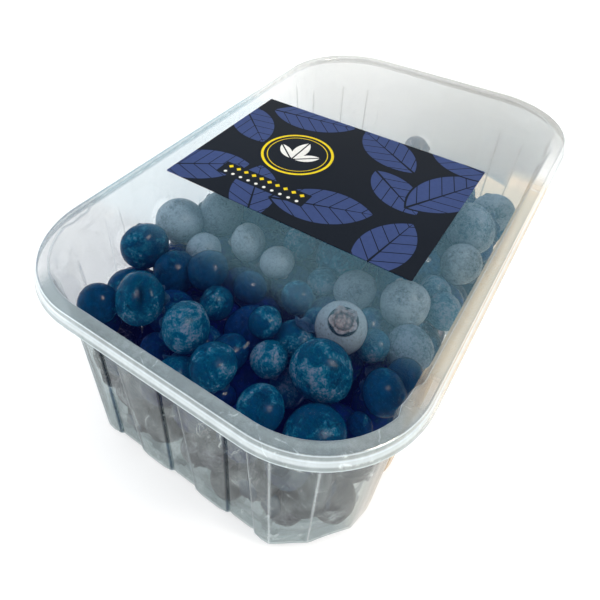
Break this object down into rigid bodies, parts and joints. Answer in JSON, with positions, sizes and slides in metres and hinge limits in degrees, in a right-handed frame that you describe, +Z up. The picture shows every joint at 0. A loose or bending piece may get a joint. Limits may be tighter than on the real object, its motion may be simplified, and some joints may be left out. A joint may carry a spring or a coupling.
{
  "type": "punnet of blueberries",
  "caption": "Clear fluted tray with rounded corners, filled with fresh blueberries, closed by a heat-sealed clear film with a printed label.",
  "frame": {"origin": "middle of the tray's base, on the surface it stands on", "axes": "+Z up, +Y along the tray, +X across it"},
  "size_m": [0.1204, 0.1918, 0.0692],
  "materials": {
    "tray": "clear, glossy",
    "berries": "waxy bloom over dark skin",
    "film": "clear, glossy",
    "label": "satin print"
  },
  "bodies": {
    "root": {"tray": "tray", "berries": "berries", "film": "film", "label": "label"}
  },
  "joints": []
}
